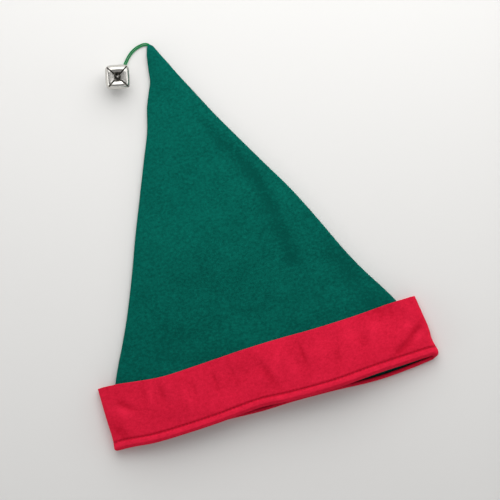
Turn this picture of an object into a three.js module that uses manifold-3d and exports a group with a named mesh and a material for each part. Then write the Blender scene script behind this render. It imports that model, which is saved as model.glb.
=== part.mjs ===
// An elf hat of felt, lying flat on its back: a tall crown, a turned-up cuff round
// its mouth, and a jingle bell on a loop of thin cord at the tip.
// Millimetres, +Z up. The hat's length runs along +Y, from the mouth to the tip, and
// the origin is the middle of the cuff's underside, on the surface that it lies on.

import * as THREE from "three";
import { mergeVertices } from "three/addons/utils/BufferGeometryUtils.js";
import Module from "manifold-3d";

const wasm = await Module();
wasm.setup();

// Sizes of the whole hat, lying flat
const hatLength = 319;
const mouthWidth = 283.5;
const cuffHeight = 51;

// Felt
const crownFelt = 1.4;
const cuffFelt = 1.4;
const feltGap = 0.45; // between the crown and the cuff

// How open the flattened hat stays
const foldHollow = 5.2; // room inside the crown's side folds at the mouth
const mouthLoft = 11; // rise of the front panel above the folds, in the mouth's middle
const cuffSettle = 2.4; // how far the cuff's own side folds sink beside the crown
const backTopShare = 0.7; // how far the back's cut edge wanders, against the front's
const drapeStart = 10; // past the cuff, where the crown's back begins to come down
const drapeLength = 20; // and over what length it comes down to the surface
const tipSolid = 17; // length at the tip where the two panels are sewn together

// Hem of the cuff
const hemTurn = 0.8; // how far the cuff's felt comes up inside the mouth
const hemHeight = 7.4; // from the mouth's edge to the row of stitches
const stitchGroove = 0.4;
const stitchReach = 4.4; // above the stitches, where the felt is level again
const hemSwell = 0.35;
const swellDrop = 1.85; // below the stitches, where the swell is full

// Jingle bell, a shell of sheet steel with four petals
const clearance = 0.3; // between the bell's own pieces
const bellWidth = 20.4;
const bellHeight = 19.6;
const bellWall = 0.6;
const bellDish = 2.4; // how far the petals' tips dip
const dishRim = 0.72; // where the dip begins, as a share of half of bellWidth
const slitWidth = 1;
const slitHoleRadius = 1;
const slitFoot = 1.6; // height of the long slits' lower ends above the bell's middle
const shortSlitReach = 10; // from the bell's axis to the end of a short slit
const openingWidth = 5.4; // between two petals' tips
const openingLength = 7.8; // and between the other two, which are shorter
const bellTurn = -13; // degrees about the bell's own axis
const bellLean = { x: 5.6, y: 2.1 }; // degrees about X and Y
const bellFromTip = { x: -32.7, y: -19.7 };

// Hanger, a bent strip through the dome, and the ball inside
const stripThickness = 0.7;
const stripWidth = 2.6;
const eyeWidth = 3.8;
const eyeDrop = 3.4; // from the dome to the foot of the eye
const eyeBend = 0.5; // inside radius of the eye's corners
const hangerToe = 1.6; // length of each end that is spread inside the dome
const hangerTurn = 58; // degrees from the middle of a petal
const pelletDiameter = 7.4;

// Cord loop between the tip and the bell
const cordDiameter = 1.3;
const cordGap = 0.2; // between its two legs
const cordTurnRadius = 2.8; // where it passes round one side of the hanger's eye
const cordLift = 0.1; // of the cord above the surface that it lies on
const cordSteps = 64; // along its route

// Crown, by sections along its length. along is a share of the crown's length, left
// and right are shares of half its width at the mouth, fold is a share of foldHollow
// and loft of mouthLoft. closing is a share of the folds' height.
const crownSections = [
  { along: 0.0, left: -1.0, right: 1.0, fold: 1.0, loft: 1.0, closing: 1 },
  { along: 0.02, left: -0.993, right: 0.991, fold: 0.96, loft: 1.0, closing: 1 },
  { along: 0.05, left: -0.976, right: 0.964, fold: 0.87, loft: 0.99, closing: 1 },
  { along: 0.1, left: -0.947, right: 0.918, fold: 0.72, loft: 0.95, closing: 1 },
  { along: 0.16, left: -0.9, right: 0.856, fold: 0.58, loft: 0.89, closing: 1 },
  { along: 0.205, left: -0.852, right: 0.807, fold: 0.49, loft: 0.84, closing: 1 },
  { along: 0.268, left: -0.777, right: 0.724, fold: 0.41, loft: 0.77, closing: 1 },
  { along: 0.332, left: -0.706, right: 0.652, fold: 0.36, loft: 0.69, closing: 1 },
  { along: 0.427, left: -0.612, right: 0.554, fold: 0.31, loft: 0.6, closing: 1 },
  { along: 0.523, left: -0.524, right: 0.453, fold: 0.28, loft: 0.51, closing: 1 },
  { along: 0.619, left: -0.43, right: 0.337, fold: 0.27, loft: 0.42, closing: 1 },
  { along: 0.714, left: -0.337, right: 0.22, fold: 0.26, loft: 0.32, closing: 1 },
  { along: 0.778, left: -0.274, right: 0.14, fold: 0.25, loft: 0.24, closing: 1 },
  { along: 0.841, left: -0.231, right: 0.068, fold: 0.24, loft: 0.15, closing: 1 },
  { along: 0.873, left: -0.2, right: 0.034, fold: 0.23, loft: 0.1, closing: 1 },
  { along: 0.905, left: -0.168, right: 0.0, fold: 0.22, loft: 0.07, closing: 1 },
  { along: 0.937, left: -0.156, right: -0.03, fold: 0.21, loft: 0.03, closing: 1 },
  { along: 0.972, left: -0.142, right: -0.063, fold: 0.2, loft: 0.0, closing: 0.96 },
  { along: 0.988, left: -0.131, right: -0.078, fold: 0.2, loft: 0.0, closing: 0.8 },
  { along: 0.996, left: -0.124, right: -0.089, fold: 0.2, loft: 0.0, closing: 0.55 },
  { along: 1.0, left: -0.117, right: -0.097, fold: 0.2, loft: 0.0, closing: 0.3 },
];

// Cuff, by sections up its height. up is a share of cuffHeight, left and right are
// shares of half of mouthWidth.
const cuffSections = [
  { up: 0.0, left: -1.0, right: 1.0 },
  { up: 0.07, left: -0.997, right: 1.001 },
  { up: 0.2, left: -0.993, right: 0.99 },
  { up: 0.28, left: -0.992, right: 0.987 },
  { up: 0.45, left: -0.993, right: 0.988 },
  { up: 0.7, left: -0.993, right: 0.978 },
  { up: 1.0, left: -0.992, right: 0.965 },
];

// How far the cuff's two edges wander from straight lines, as shares of cuffHeight.
// across is a share of half of mouthWidth; front and back are the mouth's edge of
// each panel, and top is the front panel's cut edge.
const cuffEdges = [
  { across: -1.0, front: 0.025, back: 0.0, top: 0.085 },
  { across: -0.88, front: 0.003, back: 0.0, top: 0.066 },
  { across: -0.75, front: -0.03, back: -0.01, top: 0.018 },
  { across: -0.6, front: -0.03, back: -0.02, top: -0.024 },
  { across: -0.35, front: -0.013, back: -0.03, top: -0.011 },
  { across: -0.1, front: 0.028, back: -0.067, top: 0.013 },
  { across: 0.1, front: -0.013, back: -0.067, top: 0.015 },
  { across: 0.35, front: -0.03, back: -0.093, top: 0.0 },
  { across: 0.6, front: -0.002, back: -0.136, top: 0.005 },
  { across: 0.82, front: 0.0, back: -0.112, top: 0.025 },
  { across: 1.0, front: 0.0, back: -0.06, top: 0.02 },
];

// Soft swells and dents of the front panel. across is a share of the crown's half
// width there, along of its length, and height of mouthLoft; wide and long are the
// shares over which each one fades.
const frontSwells = [
  { across: -0.3, along: 0.02, height: -0.14, wide: 0.22, long: 0.12 },
  { across: 0.45, along: 0.03, height: 0.12, wide: 0.25, long: 0.14 },
  { across: -0.66, along: 0.12, height: 0.11, wide: 0.14, long: 0.06 },
  { across: 0.1, along: 0.27, height: -0.08, wide: 0.4, long: 0.09 },
  { across: -0.35, along: 0.42, height: 0.1, wide: 0.35, long: 0.12 },
  { across: 0.3, along: 0.6, height: 0.08, wide: 0.4, long: 0.1 },
  { across: -0.1, along: 0.8, height: -0.05, wide: 0.5, long: 0.08 },
];

// Slits between the bell's petals, in degrees from the middle of a petal. A short
// one ends on the bell's face, and a long one runs down over its edge.
const bellSlits = [
  { turn: 45, short: false },
  { turn: 135, short: false },
  { turn: 225, short: true },
  { turn: 315, short: false },
];

// Line between the cord's two legs, from the tip to the bell: places from the tip in
// x and y, and heights above the surface.
const cordMiddle = [
  { x: -2.1, y: 1.0, z: 0.9 },
  { x: -4.8, y: 1.5, z: 0.85 },
  { x: -8.6, y: 1.1, z: 0.75 },
  { x: -12.8, y: -0.2, z: 0.75 },
  { x: -17.1, y: -2.7, z: 0.75 },
  { x: -20.6, y: -5.9, z: 0.8 },
  { x: -23.6, y: -9.3, z: 1.0 },
  { x: -26.2, y: -12.6, z: 1.4 },
];

const radians = THREE.MathUtils.degToRad;
const mix = THREE.MathUtils.lerp;
const fade = (value, from, to) => THREE.MathUtils.smoothstep(value, from, to);

// A column of a table at any place, on a smooth line through its rows.
function readTable(rows, key, column, at) {
  const last = rows.length - 1;
  if (at <= rows[0][key]) return rows[0][column];
  if (at >= rows[last][key]) return rows[last][column];
  let i = 0;
  while (rows[i + 1][key] < at) i += 1;
  const slope = (j) => {
    const before = rows[Math.max(j - 1, 0)];
    const after = rows[Math.min(j + 1, last)];
    return (after[column] - before[column]) / (after[key] - before[key]);
  };
  const step = rows[i + 1][key] - rows[i][key];
  const t = (at - rows[i][key]) / step;
  const ease = t * t * (3 - 2 * t);
  const leave = step * slope(i) * t * (1 - t) * (1 - t);
  const arrive = step * slope(i + 1) * t * t * (t - 1);
  return mix(rows[i][column], rows[i + 1][column], ease) + leave + arrive;
}

// Form of the crown. Heights along the hat count from the mouth's edge, which the
// cuff's felt wraps.
const hemRadius = crownFelt / 2 + feltGap + cuffFelt;
const crownStart = hemRadius;
const crownHalf = mouthWidth / 2 - cuffFelt - feltGap;
const underCrown = cuffFelt + feltGap;

const crownShare = (y) => (y - crownStart) / (hatLength - crownStart);
const crownAt = (column, y) => readTable(crownSections, "along", column, crownShare(y));
const crownLeft = (y) => crownHalf * crownAt("left", y);
const crownRight = (y) => crownHalf * crownAt("right", y);
const crownFold = (y) => (2 * crownFelt + foldHollow * crownAt("fold", y)) * crownAt("closing", y);

// Height of the crown's underside: on the cuff's back, then down on the surface.
function crownLow(y) {
  const past = cuffHeight + drapeStart;
  return underCrown * (1 - fade(y, past, past + drapeLength));
}

// Place across the crown, from -1 at its left fold to 1 at its right one.
function crownAcross(x, y) {
  const radius = crownFold(y) / 2;
  const left = crownLeft(y) + radius;
  const right = crownRight(y) - radius;
  const half = Math.max((right - left) / 2, radius / 2);
  return THREE.MathUtils.clamp((x - (left + right) / 2) / half, -1, 1);
}

// Rise of the front panel above the top of the side folds.
function frontLift(x, y) {
  const across = crownAcross(x, y);
  const dome = (1 - across ** 4) ** 1.5;
  let share = crownAt("loft", y);
  for (const swell of frontSwells) {
    const aside = (across - swell.across) / swell.wide;
    const away = (crownShare(y) - swell.along) / swell.long;
    share += swell.height * Math.exp(-aside * aside - away * away);
  }
  return mouthLoft * share * dome;
}

// Form of the cuff, which is never tighter than the crown inside it
const cuffAt = (column, y) => readTable(cuffSections, "up", column, y / cuffHeight);
const cuffLeft = (y) =>
  Math.min((mouthWidth / 2) * cuffAt("left", y), crownLeft(y) - feltGap - cuffFelt);
const cuffRight = (y) =>
  Math.max((mouthWidth / 2) * cuffAt("right", y), crownRight(y) + feltGap + cuffFelt);
const cuffFold = (y) => crownFold(y) + 2 * (feltGap + cuffFelt);

// How far the cuff's side folds sink beside the crown, where there is room for it.
function cuffSink(y) {
  const room = Math.min(crownLeft(y) - cuffLeft(y), cuffRight(y) - crownRight(y));
  return cuffSettle * fade(room, cuffFold(y) / 2, 2 * cuffFold(y));
}

// Rise of the cuff's front panel above its own side folds.
function cuffLift(x, y) {
  const radius = (cuffFold(y) - cuffSink(y)) / 2;
  const left = fade(x, cuffLeft(y) + radius, crownLeft(y));
  const right = 1 - fade(x, crownRight(y), cuffRight(y) - radius);
  return frontLift(x, y) + cuffSink(y) * Math.min(left, right);
}

// A skin is one face of the felt, as the section of the flattened tube at any y.
const crownSkin = (inset) => (y) => ({
  left: crownLeft(y) + inset,
  right: crownRight(y) - inset,
  low: crownLow(y) + inset,
  rise: crownFold(y) - 2 * inset,
  lift: frontLift,
});
const cuffSkin = (inset) => (y) => ({
  left: cuffLeft(y) + inset,
  right: cuffRight(y) - inset,
  low: inset,
  rise: cuffFold(y) - cuffSink(y) - 2 * inset,
  lift: cuffLift,
});

// Stations round a section: across the back panel, round the right fold, across the
// front panel and round the left fold. front is 0 on the back and 1 on the front.
function stations(backSteps, frontSteps, foldSteps) {
  const list = [];
  const turn = (i) => Math.PI * (i / foldSteps - 0.5);
  for (let i = 0; i <= backSteps; i += 1) list.push({ across: i / backSteps, front: 0, side: 0 });
  for (let i = 1; i < foldSteps; i += 1)
    list.push({ across: 1, front: i / foldSteps, side: 1, angle: turn(i) });
  for (let i = 0; i <= frontSteps; i += 1)
    list.push({ across: 1 - i / frontSteps, front: 1, side: 0 });
  for (let i = foldSteps - 1; i > 0; i -= 1)
    list.push({ across: 0, front: i / foldSteps, side: -1, angle: turn(i) });
  return list;
}

// Where a station lies on a skin at y, as x and z.
function onSkin(station, skin, y) {
  const { left, right, low, rise, lift } = skin(y);
  const radius = rise / 2;
  const x = mix(left + radius, right - radius, station.across);
  if (station.side !== 0) {
    const out = station.side * radius * Math.cos(station.angle);
    return { x: x + out, z: low + radius + radius * Math.sin(station.angle) };
  }
  return { x, z: station.front === 1 ? low + rise + lift(x, y) : low };
}

// A ring of points on a skin at y, moved along the hat by shift. Its front panel
// stands proud by the last value.
function ring(list, skin, y, shift, proud = 0) {
  return list.map((station) => {
    const moved = y + shift(onSkin(station, skin, y).x, station.front);
    const { x, z } = onSkin(station, skin, moved);
    return new THREE.Vector3(x, moved, station.front === 1 ? z + proud : z);
  });
}

// A closed surface from rings with as many points each. Wrapped, the last ring joins
// the first; otherwise each end is closed by a fan round its middle.
function loft(rings, wrapped) {
  const count = rings[0].length;
  const points = rings.flat();
  const faces = [];
  const joins = wrapped ? rings.length : rings.length - 1;
  for (let i = 0; i < joins; i += 1) {
    const here = i * count;
    const next = ((i + 1) % rings.length) * count;
    for (let j = 0; j < count; j += 1) {
      const k = (j + 1) % count;
      faces.push(here + j, here + k, next + k, here + j, next + k, next + j);
    }
  }
  const closeEnd = (start, turned) => {
    const middle = new THREE.Vector3();
    for (let j = 0; j < count; j += 1) middle.addScaledVector(points[start + j], 1 / count);
    const hub = points.push(middle) - 1;
    for (let j = 0; j < count; j += 1) {
      const k = (j + 1) % count;
      faces.push(hub, ...(turned ? [start + k, start + j] : [start + j, start + k]));
    }
  };
  if (!wrapped) {
    closeEnd(0, true);
    closeEnd((rings.length - 1) * count, false);
  }
  const geometry = new THREE.BufferGeometry().setFromPoints(points);
  geometry.setIndex(faces);
  return geometry;
}

// Between three.js geometry and solids for joining and cutting
function toSolid(geometry) {
  const bare = geometry.clone();
  bare.deleteAttribute("normal");
  bare.deleteAttribute("uv");
  const merged = mergeVertices(bare, 1e-4);
  return new wasm.Manifold(
    new wasm.Mesh({
      numProp: 3,
      vertProperties: new Float32Array(merged.attributes.position.array),
      triVerts: new Uint32Array(merged.index.array),
    }),
  );
}

function toGeometry(solid) {
  const mesh = solid.getMesh();
  const geometry = new THREE.BufferGeometry();
  geometry.setAttribute("position", new THREE.BufferAttribute(mesh.vertProperties, 3));
  geometry.setIndex(new THREE.BufferAttribute(mesh.triVerts, 1));
  return geometry;
}

function named(name, geometry, material) {
  geometry.computeVertexNormals();
  const mesh = new THREE.Mesh(geometry, material);
  mesh.name = name;
  return mesh;
}

// Edges of the cuff, as shifts along the hat
const edgeAt = (column, x) =>
  cuffHeight * readTable(cuffEdges, "across", column, x / (mouthWidth / 2));
const mouthShift = (x, front) => mix(edgeAt("back", x), edgeAt("front", x), front);
const cuffTopShift = (x, front) => mix(backTopShare, 1, front) * edgeAt("top", x);

const feltStations = stations(8, 24, 5);
const finestRing = 0.045; // widest steps between rings, as shares of the crown's length
const coarsestRing = 0.07;

// Crown: one sewn felt tube, open at the mouth and closed at the tip.
function crownGeometry() {
  const shares = crownSections.flatMap(({ along }, i) => {
    const before = i > 0 ? crownSections[i - 1].along : along;
    const widest = along < crownShare(cuffHeight + drapeStart) ? finestRing : coarsestRing;
    return along - before > widest ? [(along + before) / 2, along] : [along];
  });
  const skinRing = (share, inset) => {
    const y = mix(crownStart, hatLength, share);
    const settled = fade(y, 0, cuffHeight);
    const shift = (x, front) => (1 - settled) * mouthShift(x, front);
    return ring(feltStations, crownSkin(inset), y, shift);
  };
  const hollowEnd = 1 - tipSolid / (hatLength - crownStart);
  const hollowShares = [...shares.filter((share) => share < hollowEnd), hollowEnd];
  const outside = shares.toReversed().map((share) => skinRing(share, 0));
  const inside = hollowShares.map((share) => skinRing(share, crownFelt));
  return loft([...outside, ...inside], false);
}

// Cuff: a felt band that wraps the crown's lower edge and is turned up outside it.
const bandShares = [1, 0.78, 0.56, 0.36]; // heights of its rings above the hem
function cuffGeometry() {
  const shiftAt = (y) => (x, front) =>
    mix(mouthShift(x, front), cuffTopShift(x, front), fade(y, 0, cuffHeight));
  const level = (skin, y, proud = 0) => ring(feltStations, skin, y, shiftAt(y), proud);
  const turn = (radius, from, to, steps) =>
    Array.from({ length: steps - 1 }, (_, i) => {
      const angle = mix(from, to, (i + 1) / steps);
      const inset = crownFelt / 2 - radius * Math.cos(angle);
      return level(crownSkin(inset), crownStart - radius * Math.sin(angle));
    });
  const outer = cuffSkin(0);
  const inner = cuffSkin(cuffFelt);
  const againstCrown = crownSkin(crownFelt + feltGap);
  const inMouth = crownSkin(crownFelt + feltGap + cuffFelt);
  const band = bandShares.map((share) => share * cuffHeight);
  const hemTop = crownStart + hemTurn;
  return loft(
    [
      ...band.map((y) => level(outer, y)),
      level(outer, hemHeight + stitchReach),
      level(outer, hemHeight, -stitchGroove),
      level(outer, hemHeight - swellDrop, hemSwell),
      level(outer, crownStart, hemSwell),
      ...turn(hemRadius, 0, Math.PI, 5),
      level(inMouth, crownStart),
      level(inMouth, hemTop),
      level(againstCrown, hemTop),
      level(againstCrown, crownStart),
      ...turn(hemRadius - cuffFelt, Math.PI, 0, 3),
      level(inner, crownStart),
      level(inner, hemHeight),
      ...band.toReversed().map((y) => level(inner, y)),
    ],
    true,
  );
}

// Form of the bell: round and deep at the dome, nearly square and flatter at the
// petals. lean is the slope's angle, from below to above.
const domePower = 2.2;
const petalPower = 3;
const petalSquareness = 5;

function bellProfile(lean, inset) {
  const power = lean < 0 ? domePower : petalPower;
  const reach = (bellWidth / 2 - inset) * Math.cos(lean) ** (2 / power);
  const height = (bellHeight / 2 - inset) * Math.abs(Math.sin(lean)) ** (2 / power);
  const dished = 1 - fade(reach / (bellWidth / 2), 0.1, dishRim);
  return { reach, z: lean < 0 ? -height : height - bellDish * dished };
}

// Height of the dome's inner face at a distance from the axis.
function domeInside(distance) {
  const share = distance / (bellWidth / 2 - bellWall);
  return -(bellHeight / 2 - bellWall) * (1 - share ** domePower) ** (1 / domePower);
}

const bellSides = 36; // faces round the bell
const bellLevels = 18; // and from its dome to its petals

function bellForm(inset) {
  const rings = Array.from({ length: bellLevels - 1 }, (_, i) => {
    const lean = Math.PI * ((i + 1) / bellLevels - 0.5);
    const power = mix(2, petalSquareness, fade(Math.sin(lean), -0.8, 0));
    const { reach, z } = bellProfile(lean, inset);
    return Array.from({ length: bellSides }, (_, j) => {
      const turn = (2 * Math.PI * j) / bellSides;
      const [c, s] = [Math.cos(turn), Math.sin(turn)];
      const out = reach / (Math.abs(c) ** power + Math.abs(s) ** power) ** (1 / power);
      return new THREE.Vector3(out * c, out * s, z);
    });
  });
  return toSolid(loft(rings, false));
}

// A cutter for one slit, with the round hole at its end.
function slitCutter({ turn, short }) {
  const length = short ? shortSlitReach : bellWidth;
  const foot = short ? bellHeight / 4 : slitFoot;
  const tall = bellHeight - foot;
  const slit = new THREE.BoxGeometry(length, slitWidth, tall);
  slit.translate(length / 2, 0, foot + tall / 2);
  const hole = new THREE.CylinderGeometry(slitHoleRadius, slitHoleRadius, bellWidth / 2, 12);
  if (short) {
    hole.rotateX(Math.PI / 2);
    hole.translate(length, 0, foot + bellWidth / 4);
  } else {
    hole.rotateZ(Math.PI / 2);
    hole.translate(bellWidth * 0.75, 0, foot);
  }
  return toSolid(slit).add(toSolid(hole)).rotate([0, 0, turn]);
}

// Bell shell: one stamped sheet, folded in to four petals.
function bellShellGeometry() {
  const corner = openingWidth / 4;
  const aside = openingWidth / 2 - corner;
  const ahead = openingLength / 2 - corner;
  const quarter = Math.PI / 2;
  const outline = new THREE.Shape();
  outline.absarc(aside, ahead, corner, 0, quarter);
  outline.absarc(-aside, ahead, corner, quarter, 2 * quarter);
  outline.absarc(-aside, -ahead, corner, 2 * quarter, 3 * quarter);
  outline.absarc(aside, -ahead, corner, 3 * quarter, 4 * quarter);
  const opening = new THREE.ExtrudeGeometry(outline, {
    depth: bellHeight,
    bevelEnabled: false,
    curveSegments: 3,
  });
  let shell = bellForm(0).subtract(bellForm(bellWall));
  shell = shell.subtract(toSolid(opening));
  for (const slit of bellSlits) shell = shell.subtract(slitCutter(slit));
  for (const way of [-1, 1]) {
    const legSlot = new THREE.BoxGeometry(
      stripWidth + 2 * clearance,
      stripThickness + 2 * clearance,
      bellHeight / 2,
    );
    legSlot.translate(0, (way * (eyeWidth + stripThickness)) / 2, -bellHeight / 2);
    shell = shell.subtract(toSolid(legSlot).rotate([0, 0, hangerTurn]));
  }
  return toGeometry(shell);
}

// Hanger: a strip bent to an eye below the dome, with its two ends spread inside.
const toeEnd = eyeWidth / 2 + stripThickness + hangerToe;
const hangerSeat = domeInside(Math.hypot(toeEnd, stripWidth / 2)) + clearance;
const hangerTop = hangerSeat + stripThickness;
const eyeFoot = -bellHeight / 2 - eyeDrop;

function hangerGeometry() {
  const half = eyeWidth / 2;
  const wide = half + stripThickness;
  const bend = eyeBend + stripThickness;
  const bendHeight = eyeFoot + bend;
  const quarter = Math.PI / 2;
  const outline = new THREE.Shape();
  outline.moveTo(toeEnd, hangerSeat);
  outline.lineTo(wide, hangerSeat);
  outline.absarc(wide - bend, bendHeight, bend, 0, -quarter, true);
  outline.absarc(bend - wide, bendHeight, bend, -quarter, -2 * quarter, true);
  outline.lineTo(-wide, hangerSeat);
  outline.lineTo(-toeEnd, hangerSeat);
  outline.lineTo(-toeEnd, hangerTop);
  outline.lineTo(-half, hangerTop);
  outline.absarc(eyeBend - half, bendHeight, eyeBend, 2 * quarter, 3 * quarter, false);
  outline.absarc(half - eyeBend, bendHeight, eyeBend, 3 * quarter, 4 * quarter, false);
  outline.lineTo(half, hangerTop);
  outline.lineTo(toeEnd, hangerTop);
  outline.closePath();
  const strip = new THREE.ExtrudeGeometry(outline, {
    depth: stripWidth,
    bevelEnabled: false,
    curveSegments: 4,
  });
  strip.translate(0, 0, -stripWidth / 2);
  strip.rotateX(quarter);
  strip.rotateZ(quarter);
  return toGeometry(toSolid(strip));
}

// Materials
const greenFelt = new THREE.MeshStandardMaterial({ color: "#0a5f54", roughness: 0.95, metalness: 0 });
const redFelt = new THREE.MeshStandardMaterial({ color: "#cc1e3a", roughness: 0.95, metalness: 0 });
const greenCord = new THREE.MeshStandardMaterial({ color: "#1f8a55", roughness: 0.6, metalness: 0 });
const nickel = new THREE.MeshStandardMaterial({ color: "#d9d9d6", roughness: 0.22, metalness: 1 });

// The bell stands on its hanger, slits up and leaning a little. The ball lies in the
// dome, on the spread ends of the hanger.
const tip = new THREE.Vector2(
  (crownHalf * (crownAt("left", hatLength) + crownAt("right", hatLength))) / 2,
  hatLength,
);
const bell = new THREE.Group();
bell.position.set(tip.x + bellFromTip.x, tip.y + bellFromTip.y, 0);
bell.rotation.set(radians(bellLean.x), radians(bellLean.y), radians(bellTurn));
const hanger = named("bell_hanger", hangerGeometry(), nickel);
hanger.rotation.z = radians(hangerTurn);
const ball = new THREE.SphereGeometry(pelletDiameter / 2, 16, 10);
const pellet = named("bell_pellet", ball, nickel);
const ballOnToes = Math.sqrt((pelletDiameter / 2) ** 2 - (eyeWidth / 2) ** 2);
pellet.position.z = hangerTop + clearance + ballOnToes;
bell.add(named("bell_shell", bellShellGeometry(), nickel), hanger, pellet);
bell.position.z = -new THREE.Box3().setFromObject(bell, true).min.z;
bell.updateMatrixWorld(true);

// The cord's route: out along one leg, through the hanger's eye, round one side of it
// and back. Distances at the eye count ahead, to the tip, and aside.
function cordRoute() {
  const eyeMiddle = (eyeFoot + stripThickness - bellHeight / 2) / 2;
  const eye = bell.localToWorld(new THREE.Vector3(0, 0, eyeMiddle));
  const turn = radians(bellTurn + hangerTurn);
  const ahead = new THREE.Vector2(Math.cos(turn), Math.sin(turn));
  const aside = new THREE.Vector2(-ahead.y, ahead.x);
  const atEye = (forward, sideways, z) =>
    new THREE.Vector3(
      eye.x + forward * ahead.x + sideways * aside.x,
      eye.y + forward * ahead.y + sideways * aside.y,
      z,
    );
  const middle = cordMiddle.map(({ x, y, z }) => new THREE.Vector3(tip.x + x, tip.y + y, z));
  const line = new THREE.CatmullRomCurve3(middle);
  const leg = (side) =>
    middle.map((point, i) => {
      const { x, y } = line.getTangent(i / (middle.length - 1));
      const across = new THREE.Vector3(-y, x, 0).normalize();
      return point.clone().addScaledVector(across, (side * (cordDiameter + cordGap)) / 2);
    });
  const lying = cordDiameter / 2 + cordLift;
  const bendStart = stripWidth / 2;
  const bendSteps = 6;
  const legsMeet = 0.28; // how far the far leg has turned back towards the near one
  const bend = Array.from({ length: bendSteps + 1 }, (_, i) => {
    const angle = (Math.PI * i) / bendSteps;
    return atEye(
      -bendStart - cordTurnRadius * Math.sin(angle),
      cordTurnRadius * (1 - Math.cos(angle)),
      mix(eye.z, lying, fade(i / bendSteps, 0, 1)),
    );
  });
  const beside = atEye(bendStart, 2 * cordTurnRadius - legsMeet, lying);
  return new THREE.CatmullRomCurve3([
    ...leg(1),
    atEye(bendStart, 0, eye.z),
    ...bend,
    beside,
    ...leg(-1).toReversed(),
  ]);
}

function cordGeometry() {
  const sides = 8;
  const section = new THREE.Shape(
    Array.from({ length: sides }, (_, i) => {
      const turn = (2 * Math.PI * i) / sides;
      return new THREE.Vector2(Math.cos(turn), Math.sin(turn)).multiplyScalar(cordDiameter / 2);
    }),
  );
  return new THREE.ExtrudeGeometry(section, { steps: cordSteps, extrudePath: cordRoute() });
}

// The whole hat, moved so that the cuff's middle is at the origin
const hat = new THREE.Group();
hat.add(
  named("crown", crownGeometry(), greenFelt),
  named("cuff", cuffGeometry(), redFelt),
  named("bell_cord", cordGeometry(), greenCord),
  bell,
);
hat.position.y = -cuffHeight / 2;

const part = new THREE.Group();
part.add(hat);

export default part;
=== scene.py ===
# %% [markdown]
# An elf hat lies flat on its back: a tall crown of green felt, a red felt cuff turned up
# round its mouth, and a jingle bell on a loop of thin cord at the tip.
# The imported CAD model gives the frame: +Y runs from the mouth to the tip, +X to the right
# and +Z up from the surface. Blender works in metres, and the tables below in millimetres.
# The felt, the cord and the bell are rebuilt here with finer meshes in the same places.

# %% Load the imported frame
import math

import bmesh
import bpy
import numpy as np
from mathutils import Matrix, Vector


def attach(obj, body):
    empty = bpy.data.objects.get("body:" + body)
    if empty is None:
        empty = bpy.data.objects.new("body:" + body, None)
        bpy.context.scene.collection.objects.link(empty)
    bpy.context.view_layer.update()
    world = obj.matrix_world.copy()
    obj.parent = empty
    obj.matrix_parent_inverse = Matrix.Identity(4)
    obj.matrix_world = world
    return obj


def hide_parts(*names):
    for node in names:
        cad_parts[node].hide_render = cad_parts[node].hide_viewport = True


MM = 0.001

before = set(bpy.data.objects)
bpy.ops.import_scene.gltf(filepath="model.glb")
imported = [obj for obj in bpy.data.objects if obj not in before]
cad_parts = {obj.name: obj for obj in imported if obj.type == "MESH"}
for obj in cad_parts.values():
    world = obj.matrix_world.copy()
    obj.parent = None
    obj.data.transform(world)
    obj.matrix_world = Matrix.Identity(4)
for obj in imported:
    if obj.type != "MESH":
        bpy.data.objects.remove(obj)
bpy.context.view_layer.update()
scene = bpy.context.scene
print("CAD nodes:", ", ".join(sorted(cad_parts)))

# %% [markdown]
# The photograph looks straight down on the hat, with the hat turned 17 degrees in the
# picture. A long lens from 1.4 m flattens the view as a product photographer would.

# %% Camera
camera_data = bpy.data.cameras.new("camera")
camera_data.lens = 120
camera_data.sensor_width = 36
camera = bpy.data.objects.new("camera", camera_data)
camera.location = (0.0158, 0.1036, 1.403)
camera.rotation_euler = (0, 0, math.radians(-17))
scene.collection.objects.link(camera)
scene.camera = camera
print("camera height:", round(camera.location.z, 3), "m")

# %% [markdown]
# Every mesh here is made from arrays of points in millimetres. Two helpers are enough to
# start: one makes the object and lets it ride on the hat, and one joins rings of points
# with four-sided faces.


# %% Mesh helpers
def make_piece(name, points, faces, slot):
    """A smooth mesh object from points in millimetres. It rides on the hat's one body."""
    mesh = bpy.data.meshes.new(name)
    mesh.from_pydata((np.asarray(points) * MM).tolist(), [], faces)
    mesh.shade_smooth()
    piece = bpy.data.objects.new(name, mesh)
    scene.collection.objects.link(piece)
    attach(piece, "root")
    print(name, "has", len(points), "points and", len(faces), "faces")
    return piece


def ring_faces(rings, count, wrapped=False):
    """Faces between rings of count points each. Wrapped, the last ring joins the first."""
    here = np.arange(rings if wrapped else rings - 1)[:, None] * count
    after = (here + count) % (rings * count)
    j = np.arange(count)[None, :]
    k = (j + 1) % count
    faces = np.stack([here + j, here + k, after + k, after + j], axis=-1)
    return faces.reshape(-1, 4).tolist()


# %% [markdown]
# Cord, stitches and strip are all a section carried along a path. The frame that carries
# it is turned as little as possible from point to point, so nothing twists by itself.


# %% Paths and tubes
def unit(vectors):
    vectors = np.asarray(vectors, float)
    return vectors / np.linalg.norm(vectors, axis=-1, keepdims=True)


def carried_frames(path):
    """Two directions across the path at each point, with the least turning between them."""
    along = unit(np.gradient(path, axis=0))
    first = np.cross(along[0], (0.0, 0.0, 1.0))
    if np.linalg.norm(first) < 0.1:
        first = np.cross(along[0], (1.0, 0.0, 0.0))
    sides = [unit(first)]
    for direction in along[1:]:
        side = sides[-1] - direction * np.dot(sides[-1], direction)
        sides.append(unit(side))
    sides = np.array(sides)
    return sides, np.cross(along, sides)


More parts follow.
